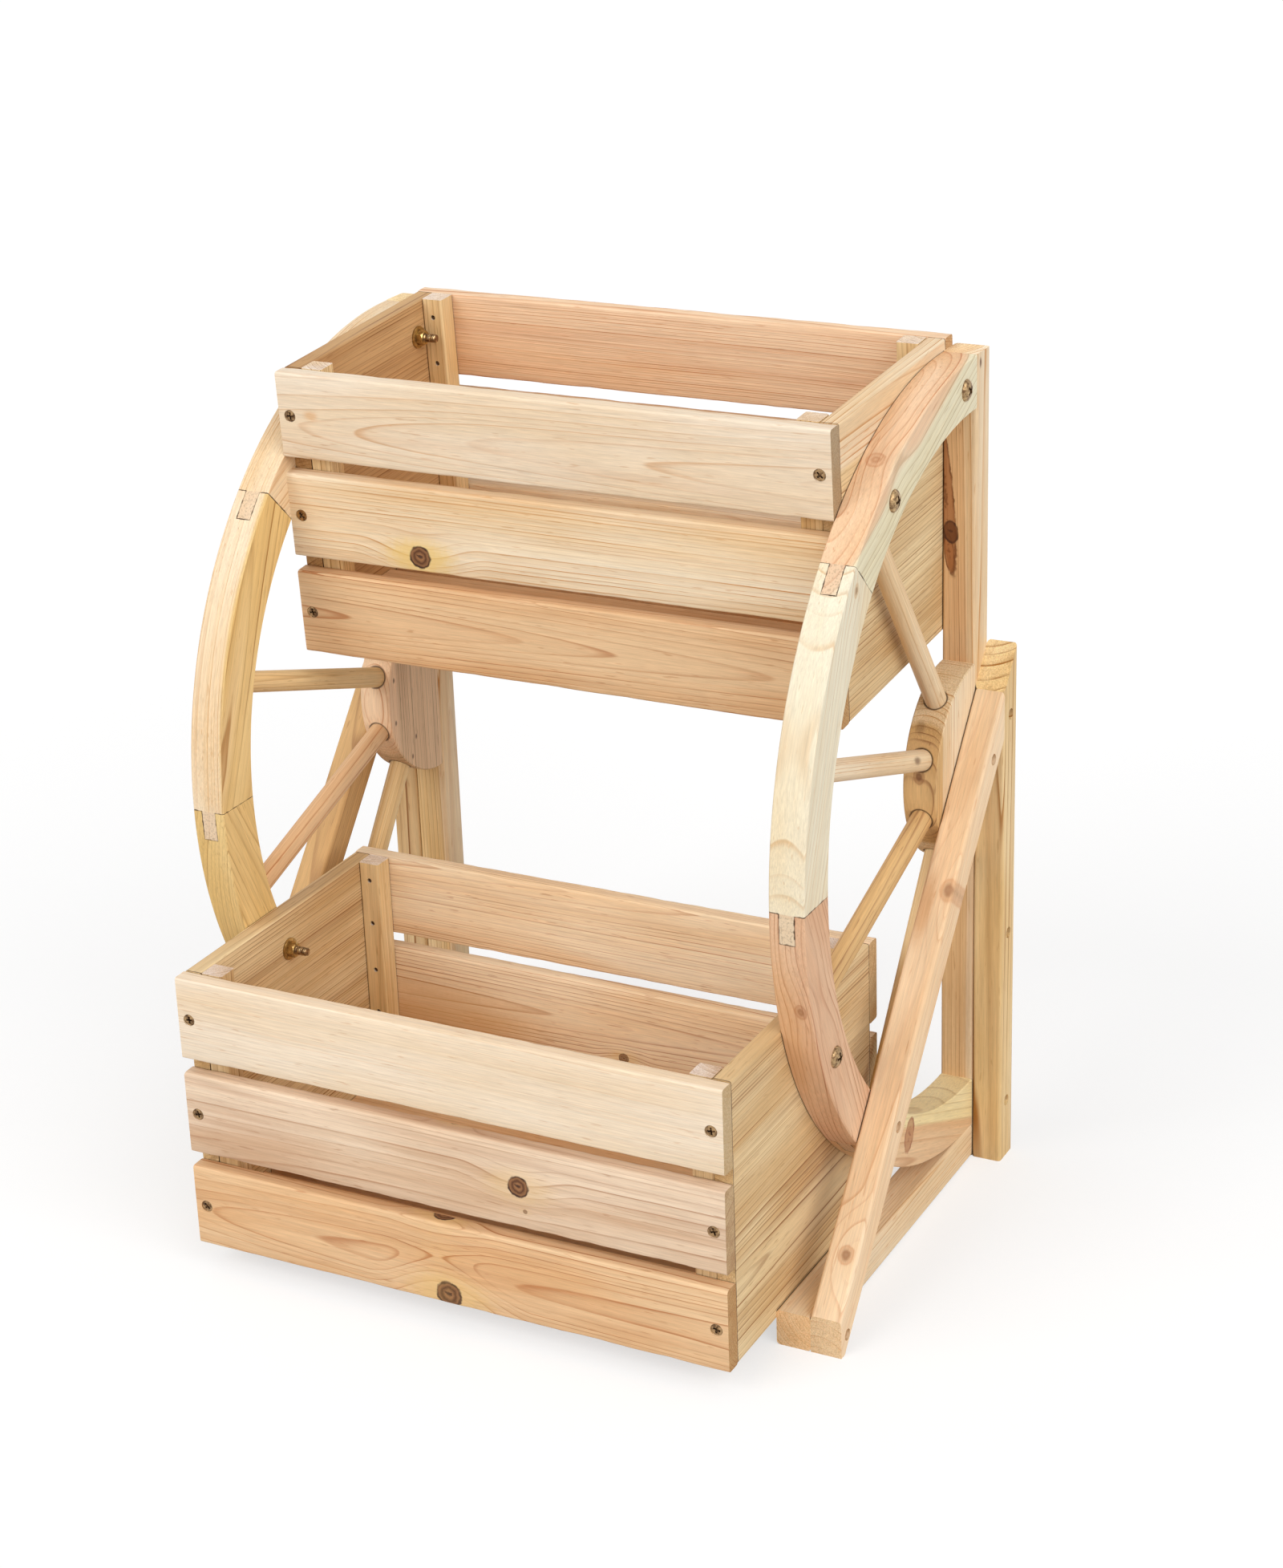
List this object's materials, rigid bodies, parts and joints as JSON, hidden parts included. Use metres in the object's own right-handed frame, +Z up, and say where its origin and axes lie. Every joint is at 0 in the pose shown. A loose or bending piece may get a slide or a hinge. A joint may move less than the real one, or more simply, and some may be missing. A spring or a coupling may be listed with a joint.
{
  "type": "planter cart",
  "caption": "Tiered wooden planter stand: half-wheel side frames with spokes, posts, legs and braces carry a low and a high slatted box for plants.",
  "frame": {"origin": "on the floor, under the middle of the whole cart's bounding box", "axes": "+Z up, +X to the viewer's right across the cart, +Y from the front of the lower box to the posts"},
  "size_m": [0.5, 0.389, 0.6082],
  "materials": {
    "slat_wood": "planed, unfinished",
    "side_wood": "planed, unfinished",
    "wheel_wood": "planed, unfinished",
    "dowel_wood": "planed, unfinished",
    "frame_wood": "planed, unfinished",
    "inner_wood": "planed, unfinished",
    "zinc_hardware": "zinc plated",
    "yellow_screws": "yellow zinc",
    "nails": "plain steel"
  },
  "bodies": {
    "root": {"bolts": "zinc_hardware", "cleat_nails": "nails", "frame_screws": "yellow_screws", "left_base_rail": "frame_wood", "left_brace": "frame_wood", "left_hub": "wheel_wood", "left_post": "frame_wood", "left_rear_leg": "frame_wood", "left_rim_segment_1": "wheel_wood", "left_rim_segment_2": "wheel_wood", "left_rim_segment_3": "wheel_wood", "left_rim_segment_4": "wheel_wood", "left_spoke_1": "dowel_wood", "left_spoke_2": "dowel_wood", "left_spoke_3": "dowel_wood", "left_spoke_4": "dowel_wood", "lower_back_left_cleat": "inner_wood", "lower_back_right_cleat": "inner_wood", "lower_back_slat_1": "slat_wood", "lower_back_slat_2": "slat_wood", "lower_back_slat_3": "slat_wood", "lower_floor_battens": "inner_wood", "lower_floor_slats": "inner_wood", "lower_front_left_cleat": "inner_wood", "lower_front_right_cleat": "inner_wood", "lower_front_slat_1": "slat_wood", "lower_front_slat_2": "slat_wood", "lower_front_slat_3": "slat_wood", "lower_left_side": "side_wood", "lower_right_side": "side_wood", "nuts": "zinc_hardware", "right_base_rail": "frame_wood", "right_brace": "frame_wood", "right_hub": "wheel_wood", "right_post": "frame_wood", "right_rear_leg": "frame_wood", "right_rim_segment_1": "wheel_wood", "right_rim_segment_2": "wheel_wood", "right_rim_segment_3": "wheel_wood", "right_rim_segment_4": "wheel_wood", "right_spoke_1": "dowel_wood", "right_spoke_2": "dowel_wood", "right_spoke_3": "dowel_wood", "right_spoke_4": "dowel_wood", "slat_screws": "yellow_screws", "upper_back_left_cleat": "inner_wood", "upper_back_right_cleat": "inner_wood", "upper_back_slat_1": "slat_wood", "upper_back_slat_2": "slat_wood", "upper_back_slat_3": "slat_wood", "upper_floor_battens": "inner_wood", "upper_floor_slats": "inner_wood", "upper_front_left_cleat": "inner_wood", "upper_front_right_cleat": "inner_wood", "upper_front_slat_1": "slat_wood", "upper_front_slat_2": "slat_wood", "upper_front_slat_3": "slat_wood", "upper_left_side": "side_wood", "upper_right_side": "side_wood", "washers": "zinc_hardware"}
  },
  "joints": []
}
